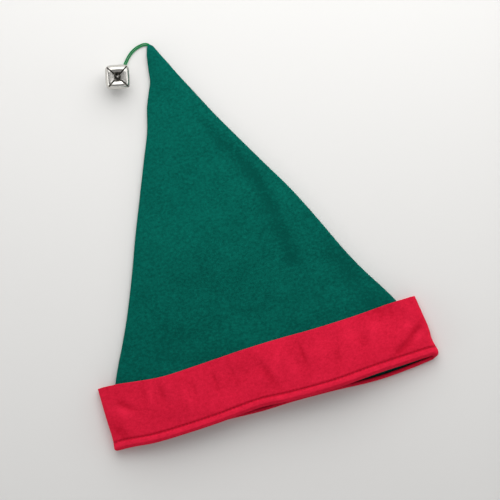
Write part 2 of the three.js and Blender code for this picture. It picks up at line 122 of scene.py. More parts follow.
def tube(path, radius, count):
    """Points and faces of a round tube along a path, closed at both ends."""
    side, up = carried_frames(path)
    turn = np.linspace(0, 2 * math.pi, count, endpoint=False)
    radius = np.broadcast_to(radius, len(path))[:, None, None]
    circle = np.cos(turn)[None, :, None] * side[:, None] + np.sin(turn)[None, :, None] * up[:, None]
    points = (path[:, None] + radius * circle).reshape(-1, 3)
    faces = ring_faces(len(path), count)
    last = (len(path) - 1) * count
    faces += [list(range(count))[::-1], list(range(last, last + count))]
    return points, faces


def joined(shells):
    """Several closed shells as the points and faces of one mesh."""
    points, faces, start = [], [], 0
    for shell_points, shell_faces in shells:
        points.append(shell_points)
        faces += [[start + i for i in face] for face in shell_faces]
        start += len(shell_points)
    return np.concatenate(points), faces


def evenly(path, step):
    """The path with points a step apart, measured along it."""
    lengths = np.linalg.norm(np.diff(path, axis=0), axis=1)
    along = np.concatenate([[0], np.cumsum(lengths)])
    at = np.linspace(0, along[-1], max(int(along[-1] / step), 2) + 1)
    return np.stack([np.interp(at, along, path[:, i]) for i in range(3)], axis=1), along[-1]


# %% [markdown]
# The cord on the real hat is a thin green one, doubled into a loop. Both ends are sewn
# into the tip, and the bend passes through the bell's hanger and round one side of it.
# The route repeats the CAD cord's points, but both its ends go further into the tip. A
# smooth line runs through them with the centripetal rule, which neither overshoots nor
# makes a loop at close points.

# %% Cord route, in millimetres
CORD_DIAMETER = 1.3
CORD_STEP = 0.25
CORD_POINTS = np.array([
    # from inside the tip to the bell
    (-15.35, 293.05, 0.95), (-17.206, 293.763, 0.9), (-19.799, 294.251, 0.85),
    (-23.418, 293.865, 0.75), (-27.468, 292.613, 0.75), (-31.625, 290.196, 0.75),
    (-35.034, 287.074, 0.8), (-37.993, 283.72, 1), (-40.58, 280.436, 1.4),
    # through the eye and round one side of it
    (-47.159, 275.807, 2.228), (-48.997, 273.968, 2.228), (-50.252, 273.243, 2.118),
    (-51.702, 273.243, 1.845), (-52.957, 273.968, 1.489), (-53.682, 275.223, 1.133),
    (-53.682, 276.673, 0.859), (-52.957, 277.928, 0.75), (-50.92, 279.568, 0.75),
    # and back, over the tip's edge and down into it
    (-41.758, 281.364, 1.4), (-39.145, 284.68, 1), (-36.104, 288.126, 0.8),
    (-32.513, 291.404, 0.75), (-28.071, 293.987, 0.75), (-23.72, 295.335, 0.75),
    (-19.74, 295.749, 0.85), (-16.933, 295.137, 0.9), (-15.14, 293.95, 1),
    (-14.64, 292.96, 1), (-14.55, 292.2, 1),
])  # fmt: skip


def smooth_line(points, steps):
    """A centripetal Catmull-Rom line through the points, with steps to each gap."""
    before = 2 * points[0] - points[1]
    after = 2 * points[-1] - points[-2]
    p = np.vstack([before, points, after])
    gap = np.sqrt(np.linalg.norm(np.diff(p, axis=0), axis=1))
    t = np.linspace(0, 1, steps, endpoint=False)[:, None]
    line = []
    for i in range(1, len(p) - 2):
        g0, g1, g2 = gap[i - 1], gap[i], gap[i + 1]
        leave = (p[i] - p[i - 1]) / g0 - (p[i + 1] - p[i - 1]) / (g0 + g1) + (p[i + 1] - p[i]) / g1
        reach = (p[i + 1] - p[i]) / g1 - (p[i + 2] - p[i]) / (g1 + g2) + (p[i + 2] - p[i + 1]) / g2
        line.append(
            (2 * t**3 - 3 * t**2 + 1) * p[i]
            + (t**3 - 2 * t**2 + t) * g1 * leave
            + (3 * t**2 - 2 * t**3) * p[i + 1]
            + (t**3 - t**2) * g1 * reach
        )
    return np.vstack([*line, points[-1:]])


cord_line, cord_length = evenly(smooth_line(CORD_POINTS, steps=40), CORD_STEP)
print("cord length:", round(cord_length, 1), "mm")

# %% [markdown]
# The cord is three-ply: three soft strands twist round each other, one turn in about
# 4 mm. Each strand is its own tube on a spiral, which gives the ropey edge and the dark
# grooves of a real cord. A bump map would leave the outline smooth.

# %% Twist the cord
PLY_COUNT = 3
PLY_SHARE = 0.47  # of the cord's radius, so that the three strands press on each other
PLY_RADIUS = PLY_SHARE * CORD_DIAMETER / 2
PLY_OUT = CORD_DIAMETER / 2 - PLY_RADIUS
LAY_LENGTH = 4.2

side, up = carried_frames(cord_line)
travelled = np.linspace(0, cord_length, len(cord_line))
plies = []
for ply in range(PLY_COUNT):
    turn = 2 * math.pi * (travelled / LAY_LENGTH + ply / PLY_COUNT)
    offset = np.cos(turn)[:, None] * side + np.sin(turn)[:, None] * up
    plies.append(tube(cord_line + PLY_OUT * offset, PLY_RADIUS, count=10))

cord = make_piece("cord_loop", *joined(plies), "cord")
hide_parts("bell_cord")

# %% [markdown]
# The felt comes next. The hat's form is a flattened tube whose width, folds and rise
# change along its length, so it is read from short tables by a smooth line through the
# rows. Distances y along the hat count from the mouth's edge.

# %% Sizes of the felt, in millimetres
HAT_LENGTH = 319
MOUTH_WIDTH = 283.5
CUFF_HEIGHT = 51
MOUTH_Y = -CUFF_HEIGHT / 2
FELT = 1.4
FELT_GAP = 0.45
FOLD_HOLLOW = 5.2  # room inside the crown's side folds at the mouth
MOUTH_LOFT = 11  # rise of the front panel above the folds, in the mouth's middle
CUFF_SETTLE = 2.4  # how far the cuff's own side folds sink beside the crown
DRAPE_START = 10  # past the cuff, where the crown's back begins to come down
DRAPE_LENGTH = 20
TIP_SOLID = 17  # length at the tip where the two panels are sewn together
HEM_TURN = 0.8  # how far the cuff's felt comes up inside the mouth
HEM_HEIGHT = 7.4  # from the mouth's edge to the row of stitches

HEM_RADIUS = FELT / 2 + FELT_GAP + FELT
CROWN_START = HEM_RADIUS
CROWN_HALF = MOUTH_WIDTH / 2 - FELT - FELT_GAP
UNDER_CROWN = FELT + FELT_GAP


# %% Tables of the felt's form
CROWN_SECTIONS = np.array([
    # share of the length, left edge, right edge, fold, loft, closing
    (0, -1, 1, 1, 1, 1), (0.02, -0.993, 0.991, 0.96, 1, 1),
    (0.05, -0.976, 0.964, 0.87, 0.99, 1), (0.1, -0.947, 0.918, 0.72, 0.95, 1),
    (0.16, -0.9, 0.862, 0.58, 0.89, 1), (0.205, -0.852, 0.807, 0.49, 0.84, 1),
    (0.268, -0.777, 0.724, 0.41, 0.77, 1), (0.332, -0.706, 0.652, 0.36, 0.69, 1),
    (0.427, -0.612, 0.559, 0.31, 0.6, 1), (0.523, -0.524, 0.458, 0.28, 0.51, 1),
    (0.619, -0.43, 0.339, 0.27, 0.42, 1), (0.714, -0.337, 0.222, 0.26, 0.32, 1),
    (0.778, -0.274, 0.145, 0.25, 0.24, 1), (0.841, -0.231, 0.076, 0.24, 0.15, 1),
    (0.873, -0.2, 0.041, 0.23, 0.1, 1), (0.905, -0.168, 0.006, 0.22, 0.07, 1),
    (0.937, -0.156, -0.026, 0.21, 0.03, 1), (0.972, -0.142, -0.063, 0.2, 0, 0.96),
    (0.988, -0.131, -0.078, 0.2, 0, 0.8), (0.996, -0.124, -0.089, 0.2, 0, 0.55),
    (1, -0.117, -0.097, 0.2, 0, 0.3),
])  # fmt: skip
LEFT, RIGHT, FOLD, LOFT, CLOSING = 1, 2, 3, 4, 5

CUFF_SECTIONS = np.array([
    # share of the cuff's height, left edge, right edge
    (0, -1, 1), (0.07, -0.997, 1.001), (0.2, -0.993, 0.99), (0.28, -0.992, 0.987),
    (0.45, -0.993, 0.988), (0.7, -0.993, 0.978), (1, -0.992, 0.965),
])  # fmt: skip

CUFF_EDGES = np.array([
    # place across, front edge of the mouth, back edge of the mouth, cuff's top edge
    (-1, 0.025, 0, 0.085), (-0.88, 0.003, 0, 0.066), (-0.75, -0.03, -0.01, 0.018),
    (-0.6, -0.03, -0.02, -0.024), (-0.35, -0.013, -0.03, -0.011), (-0.1, 0.028, -0.067, 0.013),
    (0.1, -0.013, -0.067, 0.015), (0.35, -0.03, -0.093, 0), (0.6, -0.002, -0.136, 0.005),
    (0.82, 0, -0.112, 0.025), (1, 0, -0.06, 0.02),
])  # fmt: skip
EDGE_FRONT, EDGE_BACK, EDGE_TOP = 1, 2, 3

FRONT_SWELLS = [
    # place across, share of the length, height, how wide, how long
    (-0.3, 0.02, -0.14, 0.22, 0.12), (0.45, 0.03, 0.12, 0.25, 0.14),
    (-0.66, 0.12, 0.11, 0.14, 0.06), (0.1, 0.27, -0.08, 0.4, 0.09),
    (-0.35, 0.42, 0.1, 0.35, 0.12), (0.3, 0.6, 0.08, 0.4, 0.1),
    (-0.1, 0.8, -0.05, 0.5, 0.08),
]  # fmt: skip


# %% Reading the tables
def fade(value, start, end):
    """0 before start, 1 after end, and smooth between them."""
    t = np.clip((value - start) / (end - start), 0, 1)
    return t * t * (3 - 2 * t)


def read_table(table, column, at):
    """A column of a table at any places, on a smooth line through its rows."""
    keys, values = table[:, 0], table[:, column]
    last = len(keys) - 1
    rows = np.arange(last + 1)
    before, after = np.maximum(rows - 1, 0), np.minimum(rows + 1, last)
    slope = (values[after] - values[before]) / (keys[after] - keys[before])
    at = np.clip(at, keys[0], keys[-1])
    i = np.clip(np.searchsorted(keys, at) - 1, 0, last - 1)
    step = keys[i + 1] - keys[i]
    t = (at - keys[i]) / step
    ease = t * t * (3 - 2 * t)
    leave = step * slope[i] * t * (1 - t) ** 2
    arrive = step * slope[i + 1] * t * t * (t - 1)
    return values[i] + (values[i + 1] - values[i]) * ease + leave + arrive


# %% Form of the crown
def crown_at(column, y):
    return read_table(CROWN_SECTIONS, column, (y - CROWN_START) / (HAT_LENGTH - CROWN_START))


def crown_left(y):
    return CROWN_HALF * crown_at(LEFT, y)


def crown_right(y):
    return CROWN_HALF * crown_at(RIGHT, y)


def crown_fold(y):
    return (2 * FELT + FOLD_HOLLOW * crown_at(FOLD, y)) * crown_at(CLOSING, y)


def crown_low(y):
    past = CUFF_HEIGHT + DRAPE_START
    return UNDER_CROWN * (1 - fade(y, past, past + DRAPE_LENGTH))


def crown_across(x, y):
    """Place across the crown, from -1 at its left fold to 1 at its right one."""
    radius = crown_fold(y) / 2
    left, right = crown_left(y) + radius, crown_right(y) - radius
    half = np.maximum((right - left) / 2, radius / 2)
    return np.clip((x - (left + right) / 2) / half, -1, 1)


# %% [markdown]
# The real felt was packed folded, and shows it. A soft crease runs down the right of the
# crown, and the cuff has small dents, slack streaks and a pinched corner at each end.
# A crease line and a table of long round dents give these, in the felt itself. They also
# say where shade is painted into the felt's colour: darker in the crease and dents, and
# lighter on the slack places.

# %% Creases and dents, in millimetres
CREASE = np.array([
    # x, y, depth, half width
    (1, 262, 0, 4.2), (4.2, 253.8, 0.4, 4.6), (14.6, 230.3, 0.9, 5.8),
    (23.3, 215.9, 1.05, 6.4), (33.2, 195.4, 1.15, 6.8), (39.3, 177.4, 1.2, 6.8),
    (43.4, 157.2, 1.2, 6.8), (45.2, 139.1, 1.2, 6.8), (46.9, 125.5, 1.15, 7),
    (46, 112.6, 0.8, 7.2), (44.5, 104, 0, 7.2),
])  # fmt: skip

FELT_DENTS = [
    # x, y, height, half length, half width, turn of the length from +X in degrees
    # crown
    (83, 102, -1.1, 26, 7, 116), (98, 60, -0.8, 18, 6, 125),
    (-70, 74, -0.6, 22, 7, 12), (-30, 78, -0.4, 13, 6, 20),
    (-42, 118, -0.35, 9, 6, 60), (-52, 150, 0.3, 20, 9, 80),
    (-5, 172, 0.3, 24, 9, 100), (10, 100, 0.35, 26, 9, 30),
    (66, 92, 0.3, 15, 6, 112), (-25, 205, -0.3, 16, 4, 5),
    (46, 110, -0.8, 6, 5, 90), (-78, 64, -0.8, 20, 7, 160),
    # cuff
    (-121.5, 35.5, -0.83, 8, 2.6, 140), (-125, 30.5, 0.9, 8, 3.2, 135),
    (-131, 16, -1.1, 9, 4, 118), (-43.2, 32, -0.6, 9, 1.5, 95),
    (-89, 36, -0.6, 9, 2.6, 92), (-98.5, 36, 0.45, 10, 2, 76),
    (-27.5, 33, -0.38, 10, 1.5, 95), (-1, 28, -0.68, 13, 3.4, 112),
    (11, 35, 0.52, 10, 4, 60), (32.8, 32, -0.68, 9, 2, 95),
    (21, 27, 0.45, 12, 4, 100), (84.5, 29, -0.6, 6, 4, 60),
    (95, 37, 0.6, 7, 5, 60), (112.5, 13.5, -1.2, 9, 2.8, 28),
    (128, 24.5, -1, 9, 2.4, 35), (124, 31, 0.52, 8, 4, 35),
    (113.5, 48, -0.6, 6, 2, 100), (60, 26, -0.38, 10, 2.5, 80),
    (-70, 28, 0.38, 11, 3, 95), (-62, 30, -0.4, 10, 1.6, 88),
    (130.5, 19, 0.7, 6, 3, 35), (-104, 40, -0.5, 7, 2.4, 85),
]  # fmt: skip

crease_line = smooth_line(CREASE[:, :2], steps=12)
crease_at = np.linspace(0, len(CREASE) - 1, len(crease_line))
crease_depth = np.interp(crease_at, np.arange(len(CREASE)), CREASE[:, 2])
crease_width = np.interp(crease_at, np.arange(len(CREASE)), CREASE[:, 3])


def crease(x, y):
    """Depth of the crown's long crease at each point."""
    near = np.full(x.shape, np.inf)
    depth = np.zeros(x.shape)
    for (cx, cy), deep, wide in zip(crease_line, crease_depth, crease_width):
        away = np.hypot(x - cx, y - cy)
        closer = away < near
        near = np.where(closer, away, near)
        depth = np.where(closer, deep * np.exp(-((away / wide) ** 2)), depth)
    return depth


def dents(x, y):
    """Height of the dents and slack places at each point, negative in a dent."""
    height = np.zeros(x.shape)
    for cx, cy, high, long, wide, turn in FELT_DENTS:
        c, s = math.cos(math.radians(turn)), math.sin(math.radians(turn))
        along, aside = (x - cx) * c + (y - cy) * s, (y - cy) * c - (x - cx) * s
        height += high * np.exp(-((along / long) ** 2) - (aside / wide) ** 2)
    return height


# %% [markdown]
# Felt never lies dead flat. A sum of long, weak waves in many directions makes it wander
# by a few tenths of a millimetre, which soft light turns into gentle mottling. The waves
# come from a seeded generator, so that each run gives the same hat.

# %% Slow waves in the felt
WAVE_COUNT = 14
WAVE_LENGTHS = (14, 60)
WAVE_HEIGHT = 0.16
random = np.random.default_rng(20)
wave_turns = random.uniform(0, math.pi, WAVE_COUNT)
wave_lengths = np.geomspace(*WAVE_LENGTHS, WAVE_COUNT)
wave_starts = random.uniform(0, 2 * math.pi, WAVE_COUNT)


def waves(x, y):
    """The felt's slow wander at each point, in millimetres."""
    height = np.zeros(np.broadcast(x, y).shape)
    for turn, length, start in zip(wave_turns, wave_lengths, wave_starts):
        along = x * math.cos(turn) + y * math.sin(turn)
        height += np.sin(2 * math.pi * along / length + start) * length / WAVE_LENGTHS[1]
    return WAVE_HEIGHT * height


# %% Rise of the front panels
def front_lift(x, y):
    """Rise of the crown's front panel above the top of its side folds."""
    across = crown_across(x, y)
    dome = (1 - across**4) ** 1.5  # nearly flat in the middle, steep beside the folds
    share = crown_at(LOFT, y)
    along = (y - CROWN_START) / (HAT_LENGTH - CROWN_START)
    for where, place, height, wide, long in FRONT_SWELLS:
        away = ((across - where) / wide) ** 2 + ((along - place) / long) ** 2
        share = share + height * np.exp(-away)
    near_fold = 1 - across**8
    return MOUTH_LOFT * share * dome + near_fold * (dents(x, y) - crease(x, y) + waves(x, y))


def cuff_left(y):
    edge = MOUTH_WIDTH / 2 * read_table(CUFF_SECTIONS, LEFT, y / CUFF_HEIGHT)
    return np.minimum(edge, crown_left(y) - UNDER_CROWN)


def cuff_right(y):
    edge = MOUTH_WIDTH / 2 * read_table(CUFF_SECTIONS, RIGHT, y / CUFF_HEIGHT)
    return np.maximum(edge, crown_right(y) + UNDER_CROWN)


def cuff_fold(y):
    return crown_fold(y) + 2 * UNDER_CROWN


def cuff_sink(y):
    """How far the cuff's side folds sink beside the crown, where there is room."""
    room = np.minimum(crown_left(y) - cuff_left(y), cuff_right(y) - crown_right(y))
    return CUFF_SETTLE * fade(room, cuff_fold(y) / 2, 2 * cuff_fold(y))


def cuff_lift(x, y):
    radius = (cuff_fold(y) - cuff_sink(y)) / 2
    left = fade(x, cuff_left(y) + radius, crown_left(y))
    right = 1 - fade(x, crown_right(y), cuff_right(y) - radius)
    return front_lift(x, y) + cuff_sink(y) * np.minimum(left, right)


# %% [markdown]
# A ring of points runs round the flattened tube at one y: along the back, round the right
# fold, over the front and round the left fold. Rings outside and rings a felt's thickness
# inside make a shell with two real faces and a real edge.


# %% Rings round the felt
class Rings:
    """Places round a section of the flattened tube, and the points there on any skin."""

    def __init__(self, back, front, fold):
        turn = math.pi * (np.arange(1, fold) / fold - 0.5)
        zeros = np.zeros
        self.across = np.concatenate([
            np.linspace(0, 1, back + 1), np.ones(fold - 1),
            np.linspace(1, 0, front + 1), zeros(fold - 1),
        ])  # fmt: skip
        self.turn = np.concatenate([zeros(back + 1), turn, zeros(front + 1), turn[::-1]])
        self.side = np.concatenate([
            zeros(back + 1), np.ones(fold - 1), zeros(front + 1), -np.ones(fold - 1),
        ])  # fmt: skip
        rise = (turn / math.pi) + 0.5
        self.front = np.concatenate([zeros(back + 1), rise, np.ones(front + 1), rise[::-1]])
        self.count = len(self.across)
        self.on_side = self.side != 0
        self.out_x = self.side * np.cos(self.turn)
        self.out_z = np.where(self.on_side, np.sin(self.turn), np.where(self.front == 1, 1.0, -1.0))

    def points(self, skin, y, shift, proud=None):
        """A ring at y, moved along the hat by shift, and standing proud of the skin."""
        level = np.full(self.count, float(y))
        x, _ = self._place(skin, level)
        level = level + shift(x, self.front)
        x, z = self._place(skin, level)
        if proud is not None:
            amount = proud(x, level, self.front)
            amount = np.where(self.front == 0, np.minimum(amount, 0), amount)
            x, z = x + amount * self.out_x, z + amount * self.out_z
        return np.stack([x, level + MOUTH_Y, z], axis=1)

    def _place(self, skin, y):
        left, right, low, rise, lift = skin(y)
        radius = rise / 2
        x = left + radius + (right - left - rise) * self.across
        turned = low + radius + radius * np.sin(self.turn)
        flat = np.where(self.front == 1, low + rise + lift(x, y), low)
        x = x + radius * self.side * np.cos(self.turn)
        return x, np.where(self.on_side, turned, flat)


def crown_skin(inset):
    def skin(y):
        left, right = crown_left(y) + inset, crown_right(y) - inset
        return left, right, crown_low(y) + inset, crown_fold(y) - 2 * inset, front_lift

    return skin


def cuff_skin(inset):
    def skin(y):
        left, right = cuff_left(y) + inset, cuff_right(y) - inset
        return left, right, inset, cuff_fold(y) - cuff_sink(y) - 2 * inset, cuff_lift

    return skin


def edge_at(column, x):
    return CUFF_HEIGHT * read_table(CUFF_EDGES, column, x / (MOUTH_WIDTH / 2))


def mouth_shift(x, front):
    return edge_at(EDGE_BACK, x) * (1 - front) + edge_at(EDGE_FRONT, x) * front


# %% [markdown]
# The crown of the real hat is two panels of felt, sewn along both sides and turned
# inside out, so each side fold has a fine sunk seam line with small puckers. The tube is
# open at the mouth. Its panels meet at the tip, where the seam allowance fills it.

# %% Build the crown
SEAM_DEPTH = 0.35
SEAM_WIDTH = 0.7
SEAM_PUCKER = 0.35
PUCKER_PITCH = 6.0
TIP_LENGTH = 6
TIP_STEP = 0.6
OPEN_STEP = 1.6
HIDDEN_RINGS = 14
INSIDE_STEP = 6

crown_rings = Rings(back=60, front=170, fold=14)


def crown_shift(y):
    settled = fade(y, 0, CUFF_HEIGHT)
    return lambda x, front: (1 - settled) * mouth_shift(x, front)


def side_seam(x, y, front):
    """The sunk line of the side seams, at the middle of each fold."""
    off_seam = (front - 0.5) * math.pi * crown_fold(y) / 2
    pucker = 1 + SEAM_PUCKER * np.sin(2 * math.pi * y / PUCKER_PITCH)
    return -SEAM_DEPTH * pucker * np.exp(-((off_seam / SEAM_WIDTH) ** 2))


hollow_end = HAT_LENGTH - TIP_SOLID
outside_y = np.concatenate([
    np.arange(HAT_LENGTH, HAT_LENGTH - TIP_LENGTH, -TIP_STEP),
    np.arange(HAT_LENGTH - TIP_LENGTH, CUFF_HEIGHT - 3, -OPEN_STEP),
    np.linspace(CUFF_HEIGHT - 4, CROWN_START, HIDDEN_RINGS),
])  # fmt: skip
inside_y = np.concatenate([
    np.linspace(CROWN_START, CUFF_HEIGHT, HIDDEN_RINGS),
    np.arange(CUFF_HEIGHT + 5, hollow_end, INSIDE_STEP),
])  # fmt: skip
rings = [crown_rings.points(crown_skin(0), y, crown_shift(y), side_seam) for y in outside_y]
rings += [crown_rings.points(crown_skin(FELT), y, crown_shift(y)) for y in inside_y]
crown_points = np.concatenate(rings)
crown_faces = ring_faces(len(rings), crown_rings.count)
first, last = 0, (len(rings) - 1) * crown_rings.count
for start, turned in ((first, True), (last, False)):
    hub = len(crown_points)
    middle = crown_points[start : start + crown_rings.count].mean(axis=0)
    crown_points = np.vstack([crown_points, middle])
    for j in range(crown_rings.count):
        a, b = start + j, start + (j + 1) % crown_rings.count
        crown_faces.append([hub, b, a] if turned else [hub, a, b])

crown = make_piece("green_felt_crown", crown_points, crown_faces, "crown_felt")
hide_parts("crown")

# %% [markdown]
# The cuff is a strip of red felt that goes a little way up inside the mouth, round the
# crown's edge and up outside it. A row of machine stitches holds the wrapped edge, and
# below it the hem swells. The stitches pull the felt down into a groove and pucker it,
# and this relief fades towards the side folds, where the felt is pressed flat. The top
# edge is cut, not hemmed: nearly square, with a soft corner.

# %% Build the cuff
GROOVE_DEPTH = 0.7
GROOVE_WIDTH = 1.0
HEM_SWELL = 0.7
HEM_ROUNDNESS = 0.7
STITCH_PITCH = 3.2
PUCKER_DEPTH = 0.16
PUCKER_REACH = 3.0
CUFF_SEAM_X = -137.0
CUFF_SEAM_DEPTH = 0.22
CUFF_SEAM_WIDTH = 0.8
EDGE_SOFTNESS = 0.35
BACK_TOP_SHARE = 0.7  # how far the back's cut edge wanders, against the front's
FOLD_REACH = 10  # from a side fold, where the relief is at its full depth
FINE_RINGS_TOP = 12  # below this the rings are close together, for the groove

cuff_rings = Rings(back=130, front=300, fold=14)


def cuff_shift(y):
    turned_up = fade(y, 0, CUFF_HEIGHT)

    def shift(x, front):
        top = (BACK_TOP_SHARE + (1 - BACK_TOP_SHARE) * front) * edge_at(EDGE_TOP, x)
        return mouth_shift(x, front) * (1 - turned_up) + top * turned_up

    return shift


def hem_relief(height):
    """What the stitches and the wrapped edge do to the outside, at a ring's own height."""
    groove = math.exp(-(((height - HEM_HEIGHT) / GROOVE_WIDTH) ** 2))
    swell = math.sin(math.pi * min(max(height / HEM_HEIGHT, 0), 1)) ** HEM_ROUNDNESS
    near_row = math.exp(-(((height - HEM_HEIGHT) / PUCKER_REACH) ** 2))

    def proud(x, y, front):
        pucker = np.cos(2 * math.pi * x / STITCH_PITCH)
        seam = np.exp(-(((x - CUFF_SEAM_X) / CUFF_SEAM_WIDTH) ** 2)) * front
        relief = HEM_SWELL * swell - GROOVE_DEPTH * groove - PUCKER_DEPTH * near_row * pucker
        from_fold = MOUTH_WIDTH / 2 - np.abs(x)
        return relief * fade(from_fold, 0, FOLD_REACH) - CUFF_SEAM_DEPTH * seam

    return proud


def cuff_level(skin, y, proud=None):
    return cuff_rings.points(skin, y, cuff_shift(y), proud)


def hem_turn(radius, start, end, steps):
    """Rings of felt round the crown's lower edge, from one face of it to the other."""
    turns = []
    for angle in np.linspace(start, end, steps + 1)[1:-1]:
        inset = FELT / 2 - radius * math.cos(angle)
        turns.append(cuff_level(crown_skin(inset), CROWN_START - radius * math.sin(angle)))
    return turns


soft = EDGE_SOFTNESS * (1 - np.cos(np.linspace(0, math.pi / 2, 4)))
soft_drop = EDGE_SOFTNESS * (1 - np.sin(np.linspace(0, math.pi / 2, 4)))
top_edge = [cuff_level(cuff_skin(FELT - i), CUFF_HEIGHT - d) for i, d in zip(soft, soft_drop)]
top_edge += [cuff_level(cuff_skin(i), CUFF_HEIGHT - d) for i, d in zip(soft[::-1], soft_drop[::-1])]
outer_y = np.concatenate([
    np.linspace(CUFF_HEIGHT - 1, FINE_RINGS_TOP, 34),
    np.linspace(FINE_RINGS_TOP - 0.5, CROWN_START, 19),
])  # fmt: skip
hem_top = CROWN_START + HEM_TURN
rings = [
    *top_edge,
    *[cuff_level(cuff_skin(0), y, hem_relief(y)) for y in outer_y],
    *hem_turn(HEM_RADIUS, 0, math.pi, 14),
    cuff_level(crown_skin(HEM_RADIUS + FELT / 2), CROWN_START),
    cuff_level(crown_skin(HEM_RADIUS + FELT / 2), hem_top - EDGE_SOFTNESS),
    cuff_level(crown_skin(HEM_RADIUS + FELT / 2 - EDGE_SOFTNESS), hem_top),
    cuff_level(crown_skin(FELT + FELT_GAP + EDGE_SOFTNESS), hem_top),
    cuff_level(crown_skin(FELT + FELT_GAP), hem_top - EDGE_SOFTNESS),
    cuff_level(crown_skin(FELT + FELT_GAP), CROWN_START),
    *hem_turn(HEM_RADIUS - FELT, math.pi, 0, 8),
    *[cuff_level(cuff_skin(FELT), y) for y in np.linspace(CROWN_START, CUFF_HEIGHT - 1, 18)],
]
cuff_points = np.concatenate(rings)
cuff_faces = ring_faces(len(rings), cuff_rings.count, wrapped=True)
cuff = make_piece("red_felt_cuff", cuff_points, cuff_faces, "cuff_felt")
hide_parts("cuff")

# %% [markdown]
# The stitches are real thread: each one is a short tube that lies in the groove and dips
# into the felt at both ends. They follow the groove's own ring all the way round.

# %% Sew the hem
THREAD_RADIUS = 0.2
STITCH_SHARE = 0.8
STITCH_POINTS = 7
STITCH_RISE, STITCH_DIP = 0.6, 2.2  # in radii of the thread
STITCH_TAPER = 0.35

groove_ring = cuff_level(cuff_skin(0), HEM_HEIGHT, hem_relief(HEM_HEIGHT))
groove_out = np.stack([cuff_rings.out_x, np.zeros(cuff_rings.count), cuff_rings.out_z], axis=1)
closed_ring = np.vstack([groove_ring, groove_ring[:1]])
closed_out = np.vstack([groove_out, groove_out[:1]])
ring_steps = np.linalg.norm(np.diff(closed_ring, axis=0), axis=1)
ring_along = np.concatenate([[0], np.cumsum(ring_steps)])
stitch_count = round(ring_along[-1] / STITCH_PITCH)
stitch_pitch = ring_along[-1] / stitch_count


def on_groove(at, values):
    return np.stack([np.interp(at, ring_along, values[:, i]) for i in range(3)], axis=-1)


share = np.linspace(0, 1, STITCH_POINTS)
near_end = np.abs(2 * share - 1) ** 3
lift = THREAD_RADIUS * (STITCH_RISE - STITCH_DIP * near_end)
thickness = THREAD_RADIUS * (1 - STITCH_TAPER * near_end)
stitches = []
for number in range(stitch_count):
    at = (number + (1 - STITCH_SHARE) / 2 + STITCH_SHARE * share) * stitch_pitch
    path = on_groove(at, closed_ring) + lift[:, None] * unit(on_groove(at, closed_out))
    stitches.append(tube(path, thickness, count=6))
thread = make_piece("hem_stitches", *joined(stitches), "cuff_felt")
print("stitches:", stitch_count)

# %% [markdown]
# Felt is cloth. The cuff was a strip as long as the mouth is round. The crown's two panels
# together are close to a triangle with a narrow top.

# %% [markdown]
# The bell was stamped from one sheet of steel as a cross, and its four arms were bent up
# into petals that nearly meet. A petal's grid of points follows the bell's form, and its
# edges keep half a slit's width from the diagonals. Where a slit ends it widens to the
# round hole that stops the steel from tearing. Cutting slits into a finished shell would
# give ragged faces along every cut.

# %% Sizes of the bell, in millimetres
BELL_WIDTH = 20.4
BELL_HEIGHT = 19.6
BELL_WALL = 0.6
BELL_DISH = 2.6  # how far the petals' tips dip
DISH_MIDDLE, DISH_RIM = 0.1, 0.8  # where the dip is full and where it begins, from the axis
DOME_POWER = 2.2
PETAL_POWER = 3
PETAL_SQUARENESS = 5
SLIT_HALF = 0.58
SLIT_HOLE = 1.0
SLIT_FOOT = 1.6  # height of the long slits' lower ends above the bell's middle
SHORT_SLIT_REACH = 10  # from the bell's axis to the end of the short slit
SHORT_SLIT = 2  # the corner that has it
PETAL_ENDS = (2.7, 3.9)  # from the axis, for the two pairs of petals
BELL_PLACE = Vector((-47.669, 273.8, 13.317))
BELL_TURN = [math.radians(degrees) for degrees in (5.6, 2.1, -13.0)]

bell_to_hat = (
    Matrix.Rotation(BELL_TURN[0], 4, "X")
    @ Matrix.Rotation(BELL_TURN[1], 4, "Y")
    @ Matrix.Rotation(BELL_TURN[2], 4, "Z")
)


def placed(points):
    """Points from the bell's own frame to the hat's."""
    turn = np.array(bell_to_hat.to_3x3())
    return np.asarray(points) @ turn.T + np.array(BELL_PLACE)


# %% Form of the bell
def bell_profile(lean):
    """Distance from the axis and height, on the line through a petal's middle."""
    power = np.where(lean < 0, DOME_POWER, PETAL_POWER)
    reach = BELL_WIDTH / 2 * np.cos(lean) ** (2 / power)
    height = BELL_HEIGHT / 2 * np.abs(np.sin(lean)) ** (2 / power)
    dished = 1 - fade(reach / (BELL_WIDTH / 2), DISH_MIDDLE, DISH_RIM)
    return reach, np.where(lean < 0, -height, height - BELL_DISH * dished)


def bell_out(reach, lean, turn):
    """Distance from the axis at an angle round the bell, rounder towards the dome."""
    power = 2 + (PETAL_SQUARENESS - 2) * fade(np.sin(lean), -0.8, 0)
    c, s = np.abs(np.cos(turn)), np.abs(np.sin(turn))
    return reach / (c**power + s**power) ** (1 / power)


def slit_half(corner, out, z):
    """Half the slit's width on a corner of the bell, at a distance and height there."""
    if corner == SHORT_SLIT:
        if z < 0:
            return 0.0
        past_end = out - SHORT_SLIT_REACH
    else:
        past_end = SLIT_FOOT - z
    hole = math.sqrt(max(SLIT_HOLE**2 - past_end**2, 0))
    return max(hole, SLIT_HALF if past_end < 0 else 0.0)


# %% Build the petals
PETAL_COLUMNS = 18
LEVEL_STEP = 0.2
DOME_GAP, TOP_GAP = 0.02, 0.05  # angles left out at the axis, where the form is a point

lean = np.linspace(-math.pi / 2 + DOME_GAP, math.pi / 2 - TOP_GAP, 6000)
reach, height = bell_profile(lean)
along = np.concatenate([[0], np.cumsum(np.hypot(np.diff(reach), np.diff(height)))])

